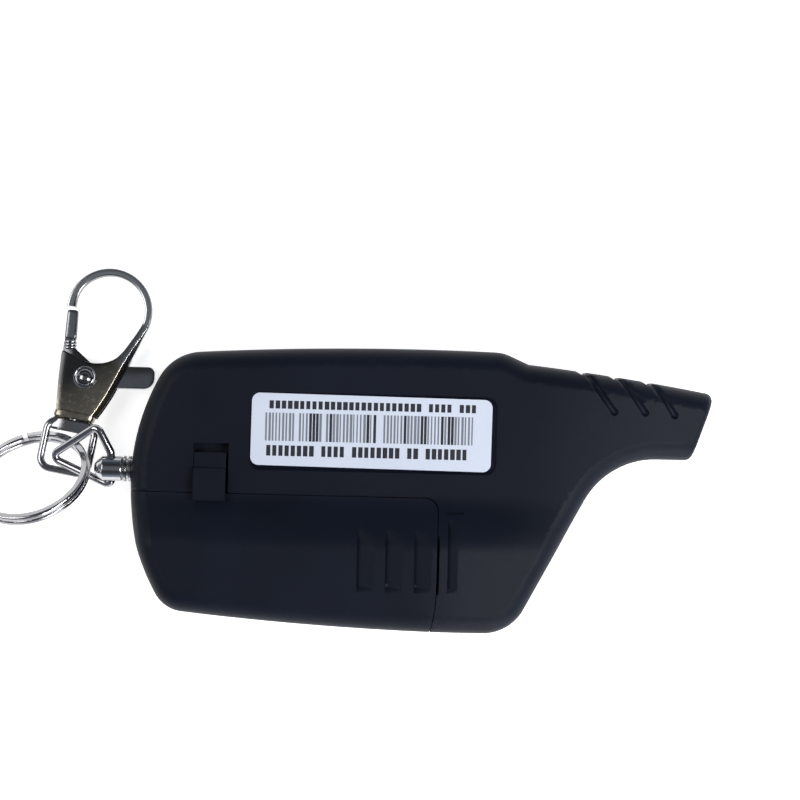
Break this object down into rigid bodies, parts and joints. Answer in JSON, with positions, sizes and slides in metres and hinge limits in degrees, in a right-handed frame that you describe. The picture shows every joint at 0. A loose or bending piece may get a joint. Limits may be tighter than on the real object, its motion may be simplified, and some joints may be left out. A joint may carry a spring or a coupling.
{
  "type": "pager key fob",
  "caption": "Handheld pager-style remote with a stub aerial nose, sliding battery cover and latch, display window and buttons in front, and a swivel trigger clasp on a split ring.",
  "frame": {"origin": "on the resting front face, in the plane that the display window and front shell lie on, near the middle of the housing", "axes": "+X from the key chain to the aerial nose, +Y across the housing toward the nose's side, +Z from the display side up to the back with its battery cover"},
  "size_m": [0.1197, 0.0574, 0.018],
  "materials": {
    "shell": "fine matt soft-touch, navy black",
    "latch": "matt, navy black",
    "label": "semi-gloss printed film",
    "window": "polished clear plastic",
    "display": "grey-green display glass",
    "frame": "matt black",
    "guide": "milky acrylic",
    "elastomer": "pink-grey elastomer",
    "board": "green solder mask",
    "chip": "moulded epoxy",
    "tin": "tinned steel",
    "button": "matt grey rubber",
    "stem": "cream plastic",
    "mount": "black rubber",
    "tungsten": "sintered heavy metal",
    "copper": "enamelled copper wire",
    "cell": "printed sleeve on steel can",
    "screw": "zinc-plated",
    "hardware": "dark nickel plate"
  },
  "bodies": {
    "housing": {"front_shell": "shell", "rear_shell": "shell", "rating_label": "label", "display_window": "window", "display_frame": "frame", "display_glass": "display", "backlight_guide": "guide", "display_connector": "elastomer", "circuit_board": "board", "shield_can": "tin", "radio_chip": "chip", "controller_chip": "chip", "crystal_can": "tin", "sounder": "chip", "motor_mount": "mount", "vibration_motor": "tin", "antenna_coil": "copper", "battery_cell": "cell", "battery_contact_plate": "tin", "battery_contact_spring": "tin", "switch_bases": "chip", "board_screws": "screw", "housing_screws": "screw", "stud_bush": "hardware"},
    "cover": {"battery_cover": "shell"},
    "latch": {"cover_latch": "latch"},
    "button_1": {"button_1": "button", "switch_stem_1": "stem"},
    "button_2": {"button_2": "button", "switch_stem_2": "stem"},
    "button_3": {"button_3": "button", "switch_stem_3": "stem"},
    "motor_weight": {"vibration_weight": "tungsten"},
    "stud": {"swivel_stud": "hardware", "stud_retainer": "hardware"},
    "link": {"connecting_link": "hardware"},
    "ring": {"split_ring": "hardware"},
    "eye": {"clasp_eye": "hardware"},
    "clasp": {"clasp_body": "hardware", "clasp_rivet": "hardware"},
    "gate": {"clasp_gate": "hardware"}
  },
  "joints": [
    {"name": "cover_slide", "type": "slide", "parent": "housing", "child": "cover", "axis": [-1, 0, 0], "range_m": [0, 0.006]},
    {"name": "latch_slide", "type": "slide", "parent": "housing", "child": "latch", "axis": [0, 1, 0], "range_m": [0, 0.00145]},
    {"name": "button_1_press", "type": "slide", "parent": "housing", "child": "button_1", "axis": [0, 0, 1], "range_m": [0, 0.00028], "stiffness_N_per_m": 2000},
    {"name": "button_2_press", "type": "slide", "parent": "housing", "child": "button_2", "axis": [0, 0, 1], "range_m": [0, 0.00028], "stiffness_N_per_m": 2000},
    {"name": "button_3_press", "type": "slide", "parent": "housing", "child": "button_3", "axis": [0, 0, 1], "range_m": [0, 0.00028], "stiffness_N_per_m": 2000},
    {"name": "weight_spin", "type": "hinge", "parent": "housing", "child": "motor_weight", "pos_m": [0.0242, -0.008, 0.0082], "axis": [0, 1, 0], "continuous": true},
    {"name": "stud_turn", "type": "hinge", "parent": "housing", "child": "stud", "pos_m": [-0.033, 0.00262, 0.0085], "axis": [-1, 0, 0], "range_deg": [-160, 115]},
    {"name": "link_hinge", "type": "hinge", "parent": "stud", "child": "link", "pos_m": [-0.0363, 0.00262, 0.0085], "axis": [0, 0.9328, 0.3603], "range_deg": [-4, 72]},
    {"name": "ring_swing", "type": "hinge", "parent": "link", "child": "ring", "pos_m": [-0.04356, 0.00624, 0.00692], "axis": [0.7404, 0.4663, 0.4841], "range_deg": [-4, 14]},
    {"name": "eye_swing", "type": "hinge", "parent": "ring", "child": "eye", "pos_m": [-0.04703, 0.00735, 0.00188], "axis": [-0.9451, 0.0368, -0.3248], "range_deg": [-42, 3]},
    {"name": "clasp_swivel", "type": "hinge", "parent": "eye", "child": "clasp", "pos_m": [-0.0429, 0.0122, 0.0033], "axis": [0.1716, 0.9799, -0.1016], "continuous": true},
    {"name": "gate_hinge", "type": "hinge", "parent": "clasp", "child": "gate", "pos_m": [-0.04141, 0.01702, 0.00279], "axis": [-0.0175, -0.1001, -0.9948], "range_deg": [0, 16], "stiffness_Nm_per_rad": 0.002}
  ]
}
